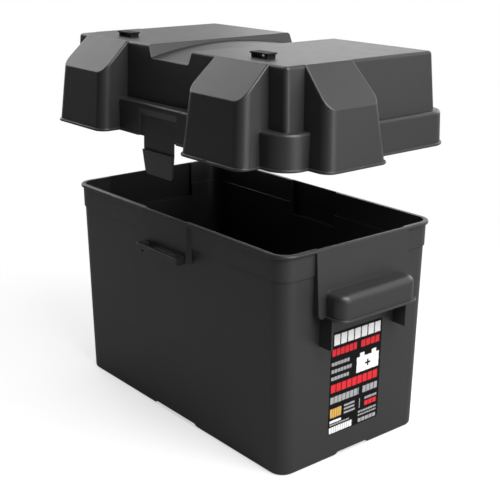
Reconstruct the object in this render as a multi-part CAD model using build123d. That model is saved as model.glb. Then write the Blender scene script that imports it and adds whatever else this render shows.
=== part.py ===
from build123d import *
import math
import os

# Plastic battery box: a drafted tub with a lift-off lid, two snap latches,
# two vent caps and a label. Millimetres, +Z up. The origin is the middle of
# the face that the box stands on. +X is the end that carries the label and
# -Y is the long side that carries the cable covers.

# --- tub -------------------------------------------------------------------
RIM_X = 175.0            # half length over the rim bead
RIM_Y = 99.0             # half width over the rim bead
TUB_HEIGHT = 219.0
FOOT_X = 168.6           # half length at the foot
FOOT_Y = 92.6            # half width at the foot
BEAD = 2.1               # how far the rim bead stands out from the top band
BEAD_HEIGHT = 3.6
BAND_STEP = 0.9          # how far the top band stands out from the wall
BAND_Z = 194.0           # bottom of the top band
CORNER = 16.0            # radius of the upright corners
WALL = 2.6
FOOT_FILLET = 3.2
CHANNEL_DEPTH = 3.8      # height of the cross channels under the floor
CHANNEL_X = 40.0         # half width of the channel that opens front and rear
CHANNEL_Y = 25.0         # half width of the channel that opens at the ends
CHANNEL_SLOPE = 6.0
TOP_GAP = 1.2            # the handle and catch panels start this far below the rim
BEAD_ROUND = 1.5
INSIDE_X = 160.0         # inside the end walls, where blocks added to them start
INSIDE_Y = 80.0          # the same for the long walls

# --- carrying handles, one at each end ---------------------------------------
HANDLE_Y = 59.0          # half width of the leaning panel above the grip
HANDLE_LEAN = 4.5        # how far the panel leans out at its lower edge
GRIP_BOTTOM = 154.0      # lower edge of the grip hood
GRIP_TOP = 179.0
GRIP_Y = 50.0            # half width of the hood
GRIP_X = 200.0           # outer face of the hood
GRIP_CORNER = 12.0
GRIP_EDGE = 7.0
LIP = 2.0                # flange round the lower edge of the hood
LIP_HEIGHT = 2.4
LIP_ROUND = 1.0
PANEL_ROUND = 5.0        # radius of the panel's lower corners
SHELF_RISE = 0.5         # shelf of the inner recess, above the top of the hood
GUSSET_X = 187.0
GUSSET_BOTTOM = 124.0
GUSSET_TOP = 160.0
GUSSET = 2.4

# --- snap catches, front and rear --------------------------------------------
SNAP_X = -4.0            # middle of the front catch and latch; the rear pair is opposite
CATCH_PANEL_X = 37.8     # half width of the flat panel above the catch
CATCH_FOOT_X = 41.8      # half width where the panel's slanted sides end
CATCH_SLANT = 2.8        # depth of those slanted sides
CATCH_PANEL_BOTTOM = 178.0
CATCH_LEAN = 0.8
BAR_X = 25.5             # half length of the open bar
BAR_TOP = 184.2
BAR_HEIGHT = 5.0
BAR_INNER = 106.1        # distance of the bar's inner face from the middle
BAR_OUTER = 109.6
BRACKET_X = 34.7
BRACKET_BOTTOM = 176.8
BAR_ROUND = 0.8

# --- lid, given where it sits when closed ------------------------------------
LIFT = 105.0             # the stored pose holds the lid this far above closed
LID_WALL = 2.4
LID_TOP = 276.3
LEDGE_Z = 222.0
SKIRT_BOTTOM = 189.5
SEAT_CLEARANCE = 0.4
TOP_X = 166.0            # half length of the flat top
TOP_Y = 90.8
CROWN_X = 170.0          # half length of the crown where it meets the ledge
CROWN_Y = 93.6
CROWN_CORNER = 4.5
SKIRT_X = 179.0          # half length of the skirt at the ledge
SKIRT_Y = 103.6
SKIRT_DRAFT = 0.9
SKIRT_CORNER = 21.0
LID_EDGE = 3.0
LID_BEAD = 1.6
LID_BEAD_HEIGHT = 2.6
LID_BEAD_ROUND = 1.0
STRAP_X = 35.0           # half width of the strap channel at the flat top
STRAP_FLOOR_X = 29.5
STRAP_END_DEPTH = 13.6
STRAP_MID_DEPTH = 3.2
STRAP_REACH = 6.0        # the arch of the floor runs this far past the flat top
STRAP_FOOT_ROUND = 2.5   # hollow corner between the channel's sides and its floor
STRAP_EDGE_ROUND = 1.0

# --- cable covers on the lid ---------------------------------------------------
COVER_CORNER = 10.0
COVER_EDGE = 1.6
COVER_DEPTH = 25.0       # how far a cover runs back into the crown
RIGHT_COVER_X = (61.0, 149.5)    # left and right side at the skirt's bottom
RIGHT_COVER_DRAFT = (9.5, 6.0)   # how far those sides lean in up to the top
LEFT_COVER_X = (-156.3, -70.0)
LEFT_COVER_DRAFT = (8.7, 2.0)
FRONT_COVER_OUT = 126.6
FRONT_COVER_CREASE = (121.8, 247.2)
END_COVER_Y = (-76.5, -2.5)
END_COVER_DRAFT = (6.5, 11.4)
END_COVER_OUT = 203.4
END_COVER_CREASE = (198.6, 242.2)

# --- snap latches ----------------------------------------------------------------
RECESS_X = 31.5          # half width of the recess at the skirt's face
RECESS_TOP = 216.6
RECESS_DEPTH = 1.5       # its sides slant in at 45 degrees
RECESS_RUN = 6.0         # height over which its top slants in to the floor
LATCH_X = 24.7
LATCH_TIP_X = 22.6       # half width at the tip, before the corners are rounded
LATCH_TIP = 153.0
LATCH_STEP = 177.4       # top edge of the barb
LATCH_INNER = 100.6      # its faces at the top of the skirt; it leans as the skirt does
LATCH_OUTER = SKIRT_Y - RECESS_DEPTH
BARB_OUT = 104.2
BARB_UNDERCUT = 1.0      # how far the barb's top face dips towards the tongue
TIP_THICKNESS = 1.0
ROOT_THICKNESS = 0.8
ROOT_HEIGHT = 5.0        # the tongue thins towards its root over this height
LATCH_GAP = 0.15
LATCH_ROUND = 4.5
LATCH_SLOT = 1.0         # the tongue's gap stops this far below the recess's floor

# --- vent caps --------------------------------------------------------------------
VENT_X = 107.5
VENT_Y = -66.0
VENT_PLATE = (24.5, 12.2, 1.4)
VENT_HEIGHT = 5.0
VENT_BODY = (21.5, 9.8)
VENT_POST = 3.5
VENT_BASE = 0.9
VENT_HOLE = (17.5, 7.0)
VENT_LEG = 1.6
VENT_LEG_LENGTH = 7.0
VENT_LEG_GAP = 0.2       # leg to hole, across the hole
VENT_HOOK = (1.2, 2.6)   # how far a hook stands out, and its height
VENT_ROUND = (1.0, 0.4)  # plate's upright corners and its top edge

# --- label ------------------------------------------------------------------------
LABEL_SIZE = (67.0, 106.0, 0.3)
LABEL_Z = 79.0
LABEL_CORNER = 3.0

FAR = 400.0              # longer than the box, for cutting tools
PAST = 5.0               # how far a cutting tool runs past the face it opens


def slab(half_x, half_y, radius, z):
    """One rounded level of a drafted shell."""
    return Pos(0, 0, z) * RectangleRounded(2 * half_x, 2 * half_y, radius)


def drafted(low, high):
    """A drafted block between two levels, each (half_x, half_y, radius, z)."""
    return loft([slab(*low), slab(*high)])


def prism(points, plane, half_length):
    """A polygon in a plane, drawn out by half_length both ways."""
    outline = plane * make_face(Polyline(*points, close=True))
    return extrude(outline, amount=half_length, both=True)


def box_between(low, high):
    """A plain block from its lowest corner to its highest corner."""
    size = [b - a for a, b in zip(low, high)]
    middle = [(a + b) / 2 for a, b in zip(low, high)]
    return Pos(*middle) * Box(*size)


def level_edges(solid):
    """The edges round a solid's underside and round its top."""
    levels = solid.edges().group_by(Axis.Z)
    return levels[0] + levels[-1]


def wall_x(z):
    """Outer half length of the tub's plain wall at a height."""
    return FOOT_X + (RIM_X - BEAD - BAND_STEP - FOOT_X) * z / TUB_HEIGHT


def wall_y(z):
    """Outer half width of the tub's plain wall at a height."""
    return FOOT_Y + (RIM_Y - BEAD - BAND_STEP - FOOT_Y) * z / TUB_HEIGHT


def tub_shell(inset, floor_z, top_z):
    """Wall and top band together, moved in by inset."""
    wall = drafted(
        (wall_x(0) - inset, wall_y(0) - inset, CORNER - 1 - inset, floor_z),
        (wall_x(top_z) - inset, wall_y(top_z) - inset, CORNER - inset, top_z))
    band_x = wall_x(BAND_Z) + BAND_STEP - inset
    band_y = wall_y(BAND_Z) + BAND_STEP - inset
    band = drafted(
        (band_x, band_y, CORNER - inset, BAND_Z),
        (RIM_X - BEAD - inset, RIM_Y - BEAD - inset, CORNER + 0.5 - inset, top_z))
    return wall + band


def floor_channel(raise_by):
    """The cross of channels under the floor, or the ridges inside it."""
    cross = []
    for plane, half in ((Plane.XZ, CHANNEL_X), (Plane.YZ, CHANNEL_Y)):
        top = CHANNEL_DEPTH + raise_by
        foot = half + raise_by * 0.5
        points = [(-foot, -1 + raise_by), (foot, -1 + raise_by),
                  (foot - CHANNEL_SLOPE, top), (-foot + CHANNEL_SLOPE, top)]
        cross.append(prism(points, plane, FAR))
    return cross[0] + cross[1]


def handle():
    """Leaning panel, hood, lip and gussets at the +X end, as added solids."""
    lean_x = RIM_X + HANDLE_LEAN
    top_z = TUB_HEIGHT - TOP_GAP
    panel = prism([(INSIDE_X, top_z), (RIM_X, top_z), (lean_x, GRIP_BOTTOM),
                   (INSIDE_X, GRIP_BOTTOM)], Plane.XZ, HANDLE_Y)
    lower_corners = panel.edges().filter_by(Axis.X).group_by(Axis.Z)[0]
    panel = fillet(lower_corners, PANEL_ROUND)
    lip = Pos(0, 0, GRIP_BOTTOM) * hood_outline(-LIP, LIP_HEIGHT)
    lip = fillet(level_edges(lip), LIP_ROUND)
    solid = panel + hood_block(0.0, GRIP_BOTTOM) + lip
    for low_y in (-GRIP_Y, GRIP_Y - GUSSET):
        solid += box_between((INSIDE_X, low_y, GUSSET_BOTTOM),
                             (GUSSET_X, low_y + GUSSET, GUSSET_TOP))
    return solid


def hood_outline(inset, height):
    """The hood's outline seen from above, drawn up by height."""
    start = INSIDE_X - GRIP_CORNER
    length = GRIP_X - inset - start
    plan = RectangleRounded(length, 2 * (GRIP_Y - inset), GRIP_CORNER)
    return extrude(Pos(start + length / 2, 0) * plan, amount=height)


def hood_block(inset, bottom):
    """The hood with its rounded outer edge, moved in by inset."""
    block = Pos(0, 0, bottom) * hood_outline(inset, GRIP_TOP - inset - bottom)
    top_edges = block.edges().group_by(Axis.Z)[-1]
    return fillet(top_edges, GRIP_EDGE - inset)


def panel_x(z):
    """Outer face of the leaning panel at a height."""
    return RIM_X + HANDLE_LEAN * (TUB_HEIGHT - TOP_GAP - z) / (TUB_HEIGHT - TOP_GAP - GRIP_BOTTOM)


def handle_recess():
    """The recess behind the leaning panel, inside the tub."""
    shelf = GRIP_TOP + SHELF_RISE
    rim_x = RIM_X - WALL
    return prism([(INSIDE_X, TUB_HEIGHT + PAST), (rim_x, TUB_HEIGHT + PAST),
                  (rim_x, TUB_HEIGHT - TOP_GAP), (panel_x(shelf) - WALL, shelf),
                  (INSIDE_X, shelf)], Plane.XZ, HANDLE_Y - WALL)


def finger_gap():
    """The hollow under the hood and the panel, open below for the fingers."""
    under_top = GRIP_TOP - WALL
    skin_x = wall_x(GRIP_BOTTOM)
    mouth = GRIP_BOTTOM - 1
    pocket = prism([(skin_x, under_top), (panel_x(under_top) - WALL, under_top),
                    (panel_x(mouth) - WALL, mouth), (skin_x, mouth)],
                   Plane.XZ, HANDLE_Y - WALL)
    for low_y in (-GRIP_Y, GRIP_Y - GUSSET):
        pocket -= box_between((skin_x, low_y, mouth - PAST), (GRIP_X, low_y + GUSSET, GRIP_TOP))
    grip = hood_block(WALL, GRIP_BOTTOM - PAST)
    grip -= box_between((0, -GRIP_Y, mouth - PAST), (skin_x, GRIP_Y, GRIP_TOP))
    return pocket + grip


def catch():
    """Panel, brackets and bar of the catch on the -Y side."""
    top_z = TUB_HEIGHT - TOP_GAP
    lean_y = -RIM_Y - CATCH_LEAN
    panel = prism([(-INSIDE_Y, top_z), (-RIM_Y, top_z), (lean_y, CATCH_PANEL_BOTTOM),
                   (-INSIDE_Y, CATCH_PANEL_BOTTOM)], Plane.YZ, CATCH_FOOT_X)
    half_plan = [(CATCH_FOOT_X, -INSIDE_Y), (CATCH_FOOT_X, CATCH_SLANT - RIM_Y),
                 (2 * CATCH_PANEL_X - CATCH_FOOT_X, -CATCH_SLANT - RIM_Y)]
    other_half = [(-x, y) for x, y in reversed(half_plan)]
    panel = panel & prism(half_plan + other_half, Plane.XY, FAR)
    block = box_between((-BRACKET_X, -BAR_OUTER, BRACKET_BOTTOM),
                        (BRACKET_X, -INSIDE_Y, BAR_TOP))
    block = fillet(block.faces().sort_by(Axis.Y)[0].edges(), BAR_ROUND)
    block -= box_between((-BAR_X, -BAR_INNER, BRACKET_BOTTOM - PAST),
                         (BAR_X, -INSIDE_Y, BAR_TOP + PAST))
    block -= box_between((-BAR_X, -BAR_OUTER - PAST, BRACKET_BOTTOM - PAST),
                         (BAR_X, -INSIDE_Y, BAR_TOP - BAR_HEIGHT))
    return Pos(SNAP_X, 0, 0) * (panel + block)


def catch_hollow():
    """The recess behind the catch panel, inside the tub."""
    shelf = CATCH_PANEL_BOTTOM + WALL
    rim_y = -RIM_Y + WALL
    hollow = prism([(-INSIDE_Y, TUB_HEIGHT + PAST), (rim_y, TUB_HEIGHT + PAST),
                    (rim_y - CATCH_LEAN, shelf), (-INSIDE_Y, shelf)],
                   Plane.YZ, CATCH_PANEL_X - WALL)
    return Pos(SNAP_X, 0, 0) * hollow


def turned(solid):
    """The same shape on the opposite side of the box."""
    return Rot(0, 0, 180) * solid


def make_tub():
    """Tub with its rim bead, two handles, two catches and ridged floor."""
    outer = tub_shell(0, 0, TUB_HEIGHT)
    outer = fillet(outer.edges().group_by(Axis.Z)[0], FOOT_FILLET)
    bead = extrude(slab(RIM_X, RIM_Y, CORNER + BEAD, TUB_HEIGHT - BEAD_HEIGHT),
                   amount=BEAD_HEIGHT)
    body = outer + fillet(level_edges(bead), BEAD_ROUND)
    for block in (handle(), catch()):
        body += block + turned(block)
    inner = tub_shell(WALL, WALL, TUB_HEIGHT + 2) - floor_channel(WALL)
    for hollow in (finger_gap(), handle_recess(), catch_hollow()):
        body -= hollow
        body -= turned(hollow)
    return body - inner - floor_channel(0)


def crown(inset, low_z, high_z):
    """The high middle of the lid, moved in by inset."""

    def level(z):
        share = (z - LEDGE_Z) / (LID_TOP - LEDGE_Z)
        half_x = CROWN_X + (TOP_X - CROWN_X) * share - inset
        half_y = CROWN_Y + (TOP_Y - CROWN_Y) * share - inset
        return half_x, half_y, CROWN_CORNER - inset * 0.8, z

    return drafted(level(low_z), level(high_z))


def skirt(inset, low_z, high_z):
    """The wide band round the foot of the lid, moved in by inset."""

    def level(z):
        grow = SKIRT_DRAFT * (LEDGE_Z - z) / (LEDGE_Z - SKIRT_BOTTOM)
        return SKIRT_X + grow - inset, SKIRT_Y + grow - inset, SKIRT_CORNER - inset, z

    return drafted(level(low_z), level(high_z))


def cover(inset, low_z, sides, draft, out, crease, rise_at):
    """A cable cover that stands out along -Y, moved in by inset.

    sides and draft give its two upright sides, out its face at the foot,
    crease the edge where its roof starts and rise_at where the roof ends.
    """
    height = LID_TOP - SKIRT_BOTTOM
    crease_y, crease_z = crease
    face_lean = (out - crease_y) / (crease_z - SKIRT_BOTTOM)
    back = rise_at - COVER_DEPTH

    def level(z):
        up = z - SKIRT_BOTTOM
        x_low = sides[0] + draft[0] * up / height + inset
        x_high = sides[1] - draft[1] * up / height - inset
        y_low = -(out - face_lean * up) + inset
        width, depth = x_high - x_low, -back - y_low
        middle = ((x_low + x_high) / 2, (y_low - back) / 2, z)
        return Pos(*middle) * RectangleRounded(width, depth, COVER_CORNER - inset)

    block = loft([level(low_z), level(LID_TOP + PAST)])
    slope = math.atan2(LID_TOP - crease_z, crease_y - rise_at)
    drop = inset / math.cos(slope)
    lid_top = LID_TOP - inset
    roof_end = rise_at - (drop - inset) / math.tan(slope)
    front = crease_y + COVER_DEPTH
    front_z = crease_z - drop - COVER_DEPTH * math.tan(slope)
    keep = prism([(-front, low_z - PAST), (-front, front_z), (-roof_end, lid_top),
                  (PAST - back, lid_top), (PAST - back, low_z - PAST)], Plane.YZ, FAR)
    block = block & keep
    if inset == 0:
        roof = [edge for edge in block.edges()
                if edge.center().Z > crease_z - 1
                and edge.center().Y < 0.5 - rise_at
                and edge.center().Z < lid_top - 0.5]
        block = fillet(roof, COVER_EDGE)
    return block


def front_cover(inset, low_z, sides, draft):
    """One of the two covers on the -Y side."""
    return cover(inset, low_z, sides, draft, FRONT_COVER_OUT, FRONT_COVER_CREASE, TOP_Y)


def end_cover(inset, low_z):
    """The cover at the +X end: built facing -Y, then turned to face +X."""
    block = cover(inset, low_z, END_COVER_Y, END_COVER_DRAFT, END_COVER_OUT,
                  END_COVER_CREASE, TOP_X)
    return Rot(0, 0, 90) * block


def all_covers(inset, low_z):
    """Two covers along the front and one at each end."""
    right = front_cover(inset, low_z, RIGHT_COVER_X, RIGHT_COVER_DRAFT)
    left = front_cover(inset, low_z, LEFT_COVER_X, LEFT_COVER_DRAFT)
    end = end_cover(inset, low_z)
    return [right, left, end, mirror(end, Plane.YZ)]


def strap_channel(grow):
    """The channel across the lid, over an arched floor; grow thickens it."""
    end_z = LID_TOP - STRAP_END_DEPTH - grow
    mid_z = LID_TOP - STRAP_MID_DEPTH - grow
    reach = TOP_Y + STRAP_REACH
    high_z = LID_TOP + PAST
    low_z = LID_TOP - STRAP_END_DEPTH - PAST
    arch = ThreePointArc((-reach, end_z), (0, mid_z), (reach, end_z))
    rest = Polyline((reach, end_z), (reach, high_z), (-reach, high_z), (-reach, end_z))
    over_arch = extrude(Plane.YZ * make_face([arch, rest]), amount=2 * STRAP_X, both=True)
    lean = PAST * (STRAP_X - STRAP_FLOOR_X) / STRAP_END_DEPTH
    low_x = STRAP_FLOOR_X + grow - lean
    high_x = STRAP_X + grow + lean
    sides = prism([(-low_x, low_z), (low_x, low_z), (high_x, high_z), (-high_x, high_z)],
                  Plane.XZ, FAR)
    channel = over_arch & sides
    if grow == 0:
        floor = channel.faces().filter_by(GeomType.CYLINDER)[0]
        foot = [edge for edge in floor.edges() if abs(edge.center().X) > PAST]
        channel = fillet(foot, STRAP_FOOT_ROUND)
    return channel


def lid_bead():
    """The rounded lip that follows the lid's lower edge."""
    bead_top = SKIRT_BOTTOM + LID_BEAD_HEIGHT
    keep = box_between((-FAR, -FAR, SKIRT_BOTTOM), (FAR, FAR, bead_top))
    pieces = [skirt(-LID_BEAD, SKIRT_BOTTOM, bead_top)]
    for block in all_covers(-LID_BEAD, SKIRT_BOTTOM - 1):
        pieces.append(block & keep)
    return [fillet(level_edges(piece), LID_BEAD_ROUND) for piece in pieces]


def make_lid():
    """Lid with its strap channel, cable covers, vent holes and latch gaps."""
    top = crown(0, LEDGE_Z - PAST, LID_TOP)
    top = fillet(top.edges().group_by(Axis.Z)[-1], LID_EDGE)
    top -= strap_channel(0)
    brow = [edge for edge in top.edges().filter_by(Axis.Y).group_by(Axis.Z)[-1]
            if abs(edge.center().X) < STRAP_X + 1]
    top = fillet(brow, STRAP_EDGE_ROUND)
    band = skirt(0, SKIRT_BOTTOM, LEDGE_Z)
    band = fillet(band.edges().group_by(Axis.Z)[-1], LID_EDGE)
    body = top + band
    for block in all_covers(0, SKIRT_BOTTOM) + lid_bead():
        body += block
    body -= strap_channel(0)
    below = SKIRT_BOTTOM - 4 * PAST
    hollow = crown(LID_WALL, below, LID_TOP - LID_WALL)
    hollow += skirt(LID_WALL, below, TUB_HEIGHT + SEAT_CLEARANCE)
    for block in all_covers(LID_WALL, below):
        hollow += block
    hollow -= strap_channel(LID_WALL)
    pad = latch_pad(below)
    body -= hollow - pad - turned(pad)
    for vent_x in (-VENT_X, VENT_X):
        body -= Pos(vent_x, VENT_Y, LID_TOP) * Box(*VENT_HOLE, 4 * LID_WALL)
    recess = latch_recess()
    return body - recess - turned(recess)


def leaning(solid):
    """Turned to follow the skirt's draft, and moved to the front latch's place."""
    draft = math.degrees(math.atan2(SKIRT_DRAFT, LEDGE_Z - SKIRT_BOTTOM))
    pivot = Pos(0, -SKIRT_Y, LEDGE_Z)
    return Pos(SNAP_X, 0, 0) * pivot * Rot(-draft, 0, 0) * pivot.inverse() * solid


def latch_pad(below):
    """The flat wall behind the recess, as thick as the tongue."""
    half_x = RECESS_X + LID_WALL
    return leaning(box_between((-half_x, -SKIRT_Y - PAST, below),
                               (half_x, -LATCH_INNER, LEDGE_Z)))


def latch_recess():
    """Shallow recess in the front of the skirt, and the latch's own gap."""
    below = SKIRT_BOTTOM - PAST

    def outline(out):
        """The recess's outline, out in front of its floor."""
        half_x = RECESS_X - RECESS_DEPTH + out
        top = RECESS_TOP + RECESS_RUN * (out - RECESS_DEPTH) / RECESS_DEPTH
        face = Plane.XZ.offset(LATCH_OUTER + out)
        return face * Pos(0, (top + below) / 2) * Rectangle(2 * half_x, top - below)

    recess = loft([outline(0), outline(RECESS_DEPTH + PAST)])
    gap_x = LATCH_X + LATCH_GAP
    gap = box_between((-gap_x, -SKIRT_Y - PAST, below),
                      (gap_x, -SKIRT_Y + PAST, RECESS_TOP - RECESS_RUN - LATCH_SLOT))
    return leaning(recess + gap)


def make_latch():
    """The tongue on the -Y side: flush with the recess, with a barb at its tip."""
    top = RECESS_TOP - RECESS_RUN - LATCH_SLOT - LATCH_GAP
    side_view = prism([
        (-LATCH_OUTER, top), (-LATCH_OUTER, LATCH_STEP - BARB_UNDERCUT),
        (-BARB_OUT, LATCH_STEP), (-LATCH_INNER - TIP_THICKNESS, LATCH_TIP),
        (-LATCH_INNER, LATCH_TIP), (-LATCH_INNER, top - ROOT_HEIGHT),
        (ROOT_THICKNESS - LATCH_OUTER, top)], Plane.YZ, LATCH_X)
    outline = make_face(Polyline(
        (-LATCH_X, top), (LATCH_X, top), (LATCH_X, LATCH_STEP), (LATCH_TIP_X, LATCH_TIP),
        (-LATCH_TIP_X, LATCH_TIP), (-LATCH_X, LATCH_STEP), close=True))
    outline = fillet(outline.vertices().group_by(Axis.Y)[0], LATCH_ROUND)
    front_view = extrude(Plane.XZ * outline, amount=FAR, both=True)
    return leaning(side_view & front_view)


def make_vent():
    """A black cap on two posts, with a base and legs that grip the hole."""
    plate_height = VENT_PLATE[2]
    plate = Pos(0, 0, VENT_HEIGHT - plate_height / 2) * Box(*VENT_PLATE)
    plate = fillet(plate.edges().filter_by(Axis.Z), VENT_ROUND[0])
    plate = fillet(plate.faces().sort_by(Axis.Z)[-1].edges(), VENT_ROUND[1])
    cap = plate + Pos(0, 0, VENT_BASE / 2) * Box(*VENT_BODY, VENT_BASE)
    post_height = VENT_HEIGHT - plate_height / 2
    leg_depth = VENT_HOLE[1] - 2 * VENT_LEG_GAP
    leg_z = VENT_BASE / 2 - VENT_LEG_LENGTH / 2
    hook_out, hook_height = VENT_HOOK
    hook_z = -LID_WALL - VENT_LEG_GAP - hook_height / 2
    for side in (-1, 1):
        post_x = side * (VENT_BODY[0] - VENT_POST) / 2
        cap += Pos(post_x, 0, post_height / 2) * Box(VENT_POST, VENT_BODY[1], post_height)
        leg_x = side * (VENT_HOLE[0] / 2 - VENT_LEG / 2 - VENT_LEG_GAP / 2)
        cap += Pos(leg_x, 0, leg_z) * Box(VENT_LEG, leg_depth, VENT_LEG_LENGTH)
        hook_x = leg_x + side * (VENT_LEG + hook_out) / 3
        cap += Pos(hook_x, 0, hook_z) * Box(hook_out, leg_depth, hook_height)
    return cap


def make_label():
    """A thin printed sheet on the drafted wall at the +X end."""
    width, height, thick = LABEL_SIZE
    sheet = extrude(RectangleRounded(width, height, LABEL_CORNER), amount=thick)
    draft = math.degrees(math.atan2(wall_x(TUB_HEIGHT) - wall_x(0), TUB_HEIGHT))
    upright = Rot(0, 90 + draft, 0) * Rot(0, 0, 90) * sheet
    return Pos(wall_x(LABEL_Z), 0, LABEL_Z) * upright


def main():
    os.makedirs("parts", exist_ok=True)
    raised = Pos(0, 0, LIFT)
    latch = make_latch()
    vent = make_vent()
    nodes = {
        "tub": make_tub(),
        "lid": raised * make_lid(),
        "snap_latch_front": raised * latch,
        "snap_latch_rear": raised * turned(latch),
        "vent_cap_left": raised * Pos(-VENT_X, VENT_Y, LID_TOP) * vent,
        "vent_cap_right": raised * Pos(VENT_X, VENT_Y, LID_TOP) * vent,
        "label": make_label(),
    }
    for name, shape in nodes.items():
        export_step(shape, f"parts/{name}.step")
        print(name, len(shape.solids()), round(shape.volume))


main()
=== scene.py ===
import math

import bmesh
import bpy
from mathutils import Matrix, Vector

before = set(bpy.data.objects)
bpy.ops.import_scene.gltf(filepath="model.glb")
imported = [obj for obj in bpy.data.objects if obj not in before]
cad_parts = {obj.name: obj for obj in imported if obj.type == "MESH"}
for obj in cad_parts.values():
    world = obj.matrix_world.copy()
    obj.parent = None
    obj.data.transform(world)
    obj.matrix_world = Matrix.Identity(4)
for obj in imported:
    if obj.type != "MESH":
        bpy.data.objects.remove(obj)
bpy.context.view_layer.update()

# Plastic battery box. The lid is stored raised above the tub. Metres, +Z up,
# -Y is the long side with the two cable covers and +X the end with the label.


# --- camera -----------------------------------------------------------------

CAMERA_AZIMUTH = 50.56      # degrees, seen from +X and -Y
CAMERA_ELEVATION = 17.84
CAMERA_ROLL = 0.24
CAMERA_PLACE = Vector((0.80439, -0.65343, 0.49726))
CAMERA_LENS = 74.16         # in mm
SENSOR_WIDTH = 36.0         # in mm
VIEW_DEPTH = 60.0           # how far the camera sees, past the floor's far edge


def add_camera():
    """A camera at CAMERA_PLACE that looks along its azimuth and elevation."""
    data = bpy.data.cameras.new("camera")
    data.lens = CAMERA_LENS
    data.sensor_width = SENSOR_WIDTH
    data.clip_end = VIEW_DEPTH
    camera = bpy.data.objects.new("camera", data)
    bpy.context.scene.collection.objects.link(camera)
    turn = Matrix.Rotation(math.radians(CAMERA_AZIMUTH), 4, "Z")
    tilt = Matrix.Rotation(math.radians(90 - CAMERA_ELEVATION), 4, "X")
    roll = Matrix.Rotation(math.radians(CAMERA_ROLL), 4, "Z")
    camera.matrix_world = Matrix.Translation(CAMERA_PLACE) @ turn @ tilt @ roll
    bpy.context.scene.camera = camera


# --- lights, floor and backdrop ---------------------------------------------

# name: direction from the object, power in watts
SOFTBOXES = {
    "top_right": ((0.65, 0.0, 0.75), 54.0),
    "top_left": ((-0.6, 0.0, 0.8), 10.0),
    "top_back": ((0.0, 0.65, 0.75), 2.5),
    "left": ((-1.0, 0.0, 0.35), 15.0),
    "back_left": ((-0.75, 0.6, 0.35), 3.8),
    "back_middle": ((-0.55, 0.85, 0.3), 5.3),
    "back": ((0.0, 1.0, 0.35), 14.0),
    "back_right": ((0.7, 0.65, 0.35), 5.4),
    "right": ((1.0, 0.1, 0.2), 13.5),
}
SOFTBOX_SIZE = 1.2
SOFTBOX_DISTANCE = 1.9
LIGHT_TARGET = Vector((0.0, 0.0, 0.2))
FLOOR_RADIUS = 20.0
FLOOR_SIDES = 96
FLOOR_ROUGHNESS = 0.9
FLOOR_SPECULAR = 0.1
FLOOR_ALBEDO = 0.85         # what the camera sees
FLOOR_BOUNCE = 0.30         # what the object sees, so that its sides stay dark
FLOOR_FADE = (0.1, 0.7)     # metres from the middle over which shadows fade to white
FLOOR_WHITE = 0.55          # how white the floor is close to the object


def add_softbox(name, direction, power):
    """A square area light turned towards the middle of the object."""
    data = bpy.data.lights.new("softbox_" + name, "AREA")
    data.size = SOFTBOX_SIZE
    data.energy = power
    light = bpy.data.objects.new("softbox_" + name, data)
    bpy.context.scene.collection.objects.link(light)
    away = Vector(direction).normalized()
    light.location = LIGHT_TARGET + away * SOFTBOX_DISTANCE
    light.rotation_euler = away.to_track_quat("Z", "Y").to_euler()


def add_world():
    """White behind the object for the camera, and black for everything else."""
    world = bpy.data.worlds.new("studio")
    world.use_nodes = True
    bpy.context.scene.world = world
    nodes, links = world.node_tree.nodes, world.node_tree.links
    background = nodes["Background"]
    background.inputs["Color"].default_value = (1.0, 1.0, 1.0, 1.0)
    path = nodes.new("ShaderNodeLightPath")
    links.new(path.outputs["Is Camera Ray"], background.inputs["Strength"])


def floor_material():
    """Pale matt floor that turns white away from the object."""
    material = bpy.data.materials.new("floor")
    material.use_nodes = True
    nodes, links = material.node_tree.nodes, material.node_tree.links
    matt = nodes["Principled BSDF"]
    matt.inputs["Roughness"].default_value = FLOOR_ROUGHNESS
    matt.inputs["Specular IOR Level"].default_value = FLOOR_SPECULAR
    matt.inputs["Base Color"].default_value = (*[FLOOR_ALBEDO] * 3, 1.0)
    bounce = nodes.new("ShaderNodeBsdfDiffuse")
    bounce.inputs["Color"].default_value = (*[FLOOR_BOUNCE] * 3, 1.0)
    white = nodes.new("ShaderNodeEmission")
    place = nodes.new("ShaderNodeTexCoord")
    distance = nodes.new("ShaderNodeVectorMath")
    distance.operation = "LENGTH"
    fade = nodes.new("ShaderNodeMapRange")
    for name, value in zip(("From Min", "From Max", "To Min"), (*FLOOR_FADE, FLOOR_WHITE)):
        fade.inputs[name].default_value = value
    path = nodes.new("ShaderNodeLightPath")
    seen = nodes.new("ShaderNodeMixShader")
    either = nodes.new("ShaderNodeMixShader")
    links.new(place.outputs["Object"], distance.inputs[0])
    links.new(distance.outputs["Value"], fade.inputs["Value"])
    links.new(fade.outputs["Result"], seen.inputs["Fac"])
    links.new(matt.outputs["BSDF"], seen.inputs[1])
    links.new(white.outputs["Emission"], seen.inputs[2])
    links.new(path.outputs["Is Camera Ray"], either.inputs["Fac"])
    links.new(bounce.outputs["BSDF"], either.inputs[1])
    links.new(seen.outputs["Shader"], either.inputs[2])
    links.new(either.outputs["Shader"], nodes["Material Output"].inputs["Surface"])
    return material


def add_floor():
    """A wide disc under the object."""
    mesh = bpy.data.meshes.new("floor")
    shape = bmesh.new()
    bmesh.ops.create_circle(shape, cap_ends=True, segments=FLOOR_SIDES, radius=FLOOR_RADIUS)
    shape.to_mesh(mesh)
    shape.free()
    floor = bpy.data.objects.new("floor", mesh)
    mesh.materials.append(floor_material())
    bpy.context.scene.collection.objects.link(floor)


# --- materials --------------------------------------------------------------

NOISE_ROUGHNESS = 0.6
EDGE_SAMPLES = 4
EMBOSS_DEPTH = 0.0002


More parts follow.
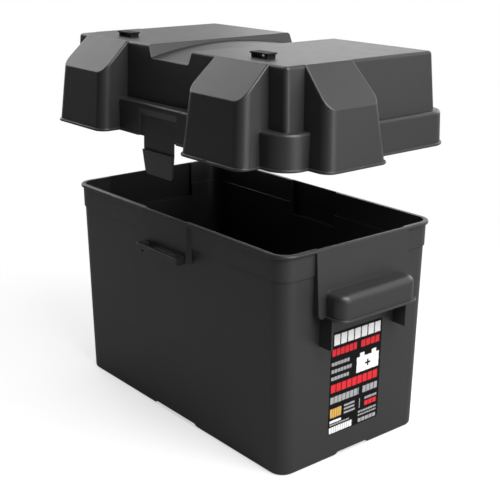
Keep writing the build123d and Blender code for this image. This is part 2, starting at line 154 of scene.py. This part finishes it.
class Surface:
    """A material, with short ways to wire its nodes."""

    def __init__(self, name, specular):
        self.material = bpy.data.materials.new(name)
        self.material.use_nodes = True
        self.nodes = self.material.node_tree.nodes
        self.links = self.material.node_tree.links
        self.shader = self.nodes["Principled BSDF"]
        self.shader.inputs["Specular IOR Level"].default_value = specular
        self.place = self.nodes.new("ShaderNodeTexCoord").outputs["Object"]

    def put(self, socket, value):
        """Link a socket to an output, or set it to a number."""
        if isinstance(value, bpy.types.NodeSocket):
            self.links.new(value, socket)
        else:
            socket.default_value = value

    def math(self, operation, *values):
        """The result of a Math node."""
        node = self.nodes.new("ShaderNodeMath")
        node.operation = operation
        for socket, value in zip(node.inputs, values):
            self.put(socket, value)
        return node.outputs["Value"]

    def vector(self, operation, *values):
        """The vector that a Vector Math node gives."""
        node = self.nodes.new("ShaderNodeVectorMath")
        node.operation = operation
        for socket, value in zip(node.inputs, values):
            self.put(socket, value)
        return node.outputs["Vector"]

    def noise(self, scale, detail):
        """Noise with scale cells a metre, or a different number along each axis."""
        texture = self.nodes.new("ShaderNodeTexNoise")
        texture.inputs["Detail"].default_value = detail
        texture.inputs["Roughness"].default_value = NOISE_ROUGHNESS
        if isinstance(scale, tuple):
            self.links.new(self.vector("MULTIPLY", self.place, scale), texture.inputs["Vector"])
            texture.inputs["Scale"].default_value = 1.0
        else:
            self.links.new(self.place, texture.inputs["Vector"])
            texture.inputs["Scale"].default_value = scale
        return texture.outputs["Fac"]

    def spread(self, value, low, high, start=0.3, end=0.7):
        """Map the stretch of a value from start to end onto low to high."""
        ramp = self.nodes.new("ShaderNodeMapRange")
        for name, number in (("From Min", start), ("From Max", end),
                             ("To Min", low), ("To Max", high)):
            ramp.inputs[name].default_value = number
        self.links.new(value, ramp.inputs["Value"])
        return ramp.outputs["Result"]

    def tint(self, tone, strength):
        """A fixed colour times a changing strength."""
        node = self.nodes.new("ShaderNodeVectorMath")
        node.operation = "SCALE"
        node.inputs[0].default_value = tone
        self.put(node.inputs["Scale"], strength)
        return node.outputs["Vector"]

    def edges(self, radius):
        """The normal rounded over sharp edges, and how much it turned there."""
        rounded = self.nodes.new("ShaderNodeBevel")
        rounded.samples = EDGE_SAMPLES
        rounded.inputs["Radius"].default_value = radius
        flat = self.nodes.new("ShaderNodeNewGeometry")
        turn = self.nodes.new("ShaderNodeVectorMath")
        turn.operation = "DISTANCE"
        self.links.new(rounded.outputs["Normal"], turn.inputs[0])
        self.links.new(flat.outputs["Normal"], turn.inputs[1])
        return rounded.outputs["Normal"], turn.outputs["Value"]

    def emboss(self, height, strength, normal):
        """Bump the normal by a height, times EMBOSS_DEPTH."""
        bump = self.nodes.new("ShaderNodeBump")
        bump.inputs["Strength"].default_value = strength
        bump.inputs["Distance"].default_value = EMBOSS_DEPTH
        self.links.new(height, bump.inputs["Height"])
        self.links.new(normal, bump.inputs["Normal"])
        self.links.new(bump.outputs["Normal"], self.shader.inputs["Normal"])


EDGE_ROUND = 0.0006         # radius of the moulded pieces' sharp edges
EDGE_TURN = (0.1, 0.7)      # how far the normal turns at the start and the middle of an edge
RUBBED_AND_HIGHLIT_PATCH = (0.4, 0.7)   # the stretch of the noise over which an edge goes from new to lightened, partly rubbed wear and partly painted highlight
WORN_AND_HIGHLIGHT_GAIN = 0.9             # how much lighter such an edge is: partly rubbed wear, partly a painted highlight
WORN_POLISH = 0.12          # how much glossier it is
SCUFFED = (0.66, 0.80)      # the stretch of the noise that shows as a scuff
SCUFF_GAIN = 0.35           # how much lighter a scuff is
SCUFF_MATT = 0.06           # how much rougher it is
FLOW_SPREAD = 0.03          # tone changes of the flow marks, either way
SPECK_SPREAD = 0.12         # the same for the fine grain
SATIN_SPREAD = 0.015        # changes of roughness, either way
GRAIN = ((650.0, 1.0), (1600.0, 2.0), (3800.0, 1.0))    # cells a metre, and detail
GRAIN_STRENGTH = 0.12


def plastic(name, tone, roughness, specular=0.5):
    """Moulded plastic: spark-eroded grain, flow marks, fine scuffs, and edges lightened partly as
    rubbed wear and partly as painted highlight.
    """
    look = Surface(name, specular)
    mottle = look.spread(look.noise(14.0, 4.0), 1 - FLOW_SPREAD, 1 + FLOW_SPREAD)
    flow = look.spread(look.noise((70.0, 70.0, 6.0), 3.0), 1 - FLOW_SPREAD, 1 + FLOW_SPREAD)
    speck = look.spread(look.noise(2400.0, 1.0), 1 - SPECK_SPREAD, 1 + SPECK_SPREAD)
    scuff = look.spread(look.noise((900.0, 60.0, 420.0), 2.0), 0.0, 1.0, *SCUFFED)
    rounded, turn = look.edges(EDGE_ROUND)
    patchy = look.spread(look.noise(90.0, 3.0), 0.0, WORN_AND_HIGHLIGHT_GAIN, *RUBBED_AND_HIGHLIT_PATCH)
    # outer and hollow edges lightened in colour: partly rubbed wear, partly a painted highlight
    worn_and_highlight = look.math("MULTIPLY", look.spread(turn, 0.0, 1.0, *EDGE_TURN), patchy)

    shade = look.math("MULTIPLY", look.math("MULTIPLY", mottle, flow), speck)
    marks = look.math("ADD", look.math("MULTIPLY_ADD", scuff, SCUFF_GAIN, 1.0), worn_and_highlight)
    shade = look.math("MULTIPLY", shade, marks)
    look.put(look.shader.inputs["Base Color"], look.tint(tone, shade))

    satin = look.spread(look.noise(60.0, 5.0), roughness - SATIN_SPREAD, roughness + SATIN_SPREAD)
    dull = look.math("MULTIPLY_ADD", scuff, SCUFF_MATT, satin)
    polished = look.math("MULTIPLY_ADD", worn_and_highlight, -WORN_POLISH, dull)
    look.put(look.shader.inputs["Roughness"], polished)

    texture = 0.0
    for scale, detail in GRAIN:
        texture = look.math("ADD", texture, look.noise(scale, detail))
    look.emboss(texture, GRAIN_STRENGTH, rounded)
    return look.material


LABEL_BLACK = (0.0025, 0.0025, 0.0025)
# colour of each ink, then its blocks: low and high Y, low and high Z, in mm,
# and the spacing of its upright gaps, or 0 for a block without gaps
INKS = {
    (0.80, 0.80, 0.80): (
        (-31, 32, 118.5, 129.5, 9.0), (1, 31, 82, 98, 0), (5, 11, 97, 102, 0),
        (21, 27, 97, 102, 0), (-32, -17, 38, 40.5, 0), (-32.5, -2, 27, 33.5, 3.0)),
    (0.33, 0.33, 0.34): (
        (-32.5, -9, 98, 101.5, 4.0), (-32.5, -6, 90.5, 94, 4.0), (-32.5, -9, 83, 86.5, 4.0),
        (-32.5, 5.5, 58.5, 65.5, 5.2), (10.5, 31, 58.5, 65.5, 5.2),
        (-13.5, 0.5, 51.2, 53.2, 0), (-13.5, 0.5, 47.3, 49.3, 0), (-13.5, 1.5, 43.3, 45.3, 0),
        (7.0, 8.0, 43, 53.5, 0), (14, 31, 50.5, 53, 3.4), (-32, -6, 35.2, 36.8, 3.0),
        (6, 31, 37.8, 39.8, 3.4), (6, 31, 34.4, 36.0, 3.0), (6, 31, 27.5, 31.5, 5.0)),
    (0.62, 0.025, 0.035): (
        (-32.5, 0, 108, 115, 5.6), (5.5, 31, 108, 115, 6.4), (-32.5, 31, 70, 78.5, 7.0),
        (14, 31, 43.5, 48.5, 5.6)),
    (0.60, 0.36, 0.09): ((-32, -17, 43.5, 53, 3.0),),
    LABEL_BLACK: ((12.5, 19.5, 88.5, 90.5, 0), (15, 17, 86, 93, 0)),
}
MM = 0.001
GAP_SHARE = 0.16            # how much of the spacing a gap takes
INK_SOFTNESS = 0.35         # width of an ink's soft edge, in mm
INK_WOBBLE = 0.0002         # how far an ink's edge strays, in metres
FILM_SPECULAR = 0.12
FILM_ROUGHNESS = (0.42, 0.52)
FILM_RIPPLE = 0.05
FILM_EDGE_ROUND = 0.00015


def printed_film(name):
    """Black film with plain blocks of ink, in place of lettering."""
    look = Surface(name, FILM_SPECULAR)
    axes = look.nodes.new("ShaderNodeSeparateXYZ")
    look.links.new(look.place, axes.inputs["Vector"])
    wobble = look.spread(look.noise(260.0, 2.0), -INK_WOBBLE, INK_WOBBLE)
    across = look.math("ADD", axes.outputs["Y"], wobble)
    upward = look.math("ADD", axes.outputs["Z"], wobble)

    def between(value, low, high):
        """1 from low to high, in mm, and 0 outside, with soft edges."""
        middle, half = (low + high) / 2, (high - low) / 2
        away = look.math("ABSOLUTE", look.math("SUBTRACT", value, middle * MM))
        return look.spread(away, 1.0, 0.0, (half - INK_SOFTNESS) * MM, (half + INK_SOFTNESS) * MM)

    colour = look.tint(LABEL_BLACK, look.spread(look.noise(40.0, 3.0), 0.8, 1.3))
    for ink, blocks in INKS.items():
        cover = 0.0
        for low_y, high_y, low_z, high_z, spacing in blocks:
            block = look.math("MULTIPLY", between(across, low_y, high_y),
                              between(upward, low_z, high_z))
            if spacing:
                step = look.math("SUBTRACT", across, low_y * MM)
                wave = look.math("PINGPONG", step, spacing / 2 * MM)
                gap = GAP_SHARE * spacing / 2
                soft = ((gap - INK_SOFTNESS) * MM, (gap + INK_SOFTNESS) * MM)
                block = look.math("MULTIPLY", block, look.spread(wave, 0.0, 1.0, *soft))
            cover = look.math("MAXIMUM", cover, block)
        mix = look.nodes.new("ShaderNodeMix")
        mix.data_type = "RGBA"
        look.put(mix.inputs["Factor"], cover)
        look.put(mix.inputs["A"], colour)
        mix.inputs["B"].default_value = (*ink, 1.0)
        colour = mix.outputs["Result"]
    look.put(look.shader.inputs["Base Color"], colour)
    look.put(look.shader.inputs["Roughness"], look.spread(look.noise(90.0, 4.0), *FILM_ROUGHNESS))
    rounded, _ = look.edges(FILM_EDGE_ROUND)
    look.emboss(look.noise(700.0, 3.0), FILM_RIPPLE, rounded)
    return look.material


def dress(node, material):
    """Give a CAD node its material; its shading normals come with it."""
    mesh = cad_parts[node].data
    mesh.materials.clear()
    mesh.materials.append(material)


# --- assembly ---------------------------------------------------------------

CHARCOAL = (0.0195, 0.0195, 0.0200)
BLACK = (0.0035, 0.0035, 0.0035)
SATIN = 0.42                # roughness of the box
MATT = 0.6                  # roughness of the vent caps
MATT_SPECULAR = 0.2

add_camera()
add_world()
for softbox, (direction, power) in SOFTBOXES.items():
    add_softbox(softbox, direction, power)
add_floor()

dress("tub", plastic("tub_plastic", CHARCOAL, SATIN))
dress("lid", plastic("lid_plastic", CHARCOAL, SATIN))
latch_plastic = plastic("latch_plastic", CHARCOAL, SATIN)
for node in ("snap_latch_front", "snap_latch_rear"):
    dress(node, latch_plastic)
vent_plastic = plastic("vent_plastic", BLACK, MATT, specular=MATT_SPECULAR)
for node in ("vent_cap_left", "vent_cap_right"):
    dress(node, vent_plastic)
dress("label", printed_film("label_print"))

bpy.context.scene.view_settings.view_transform = "Standard"
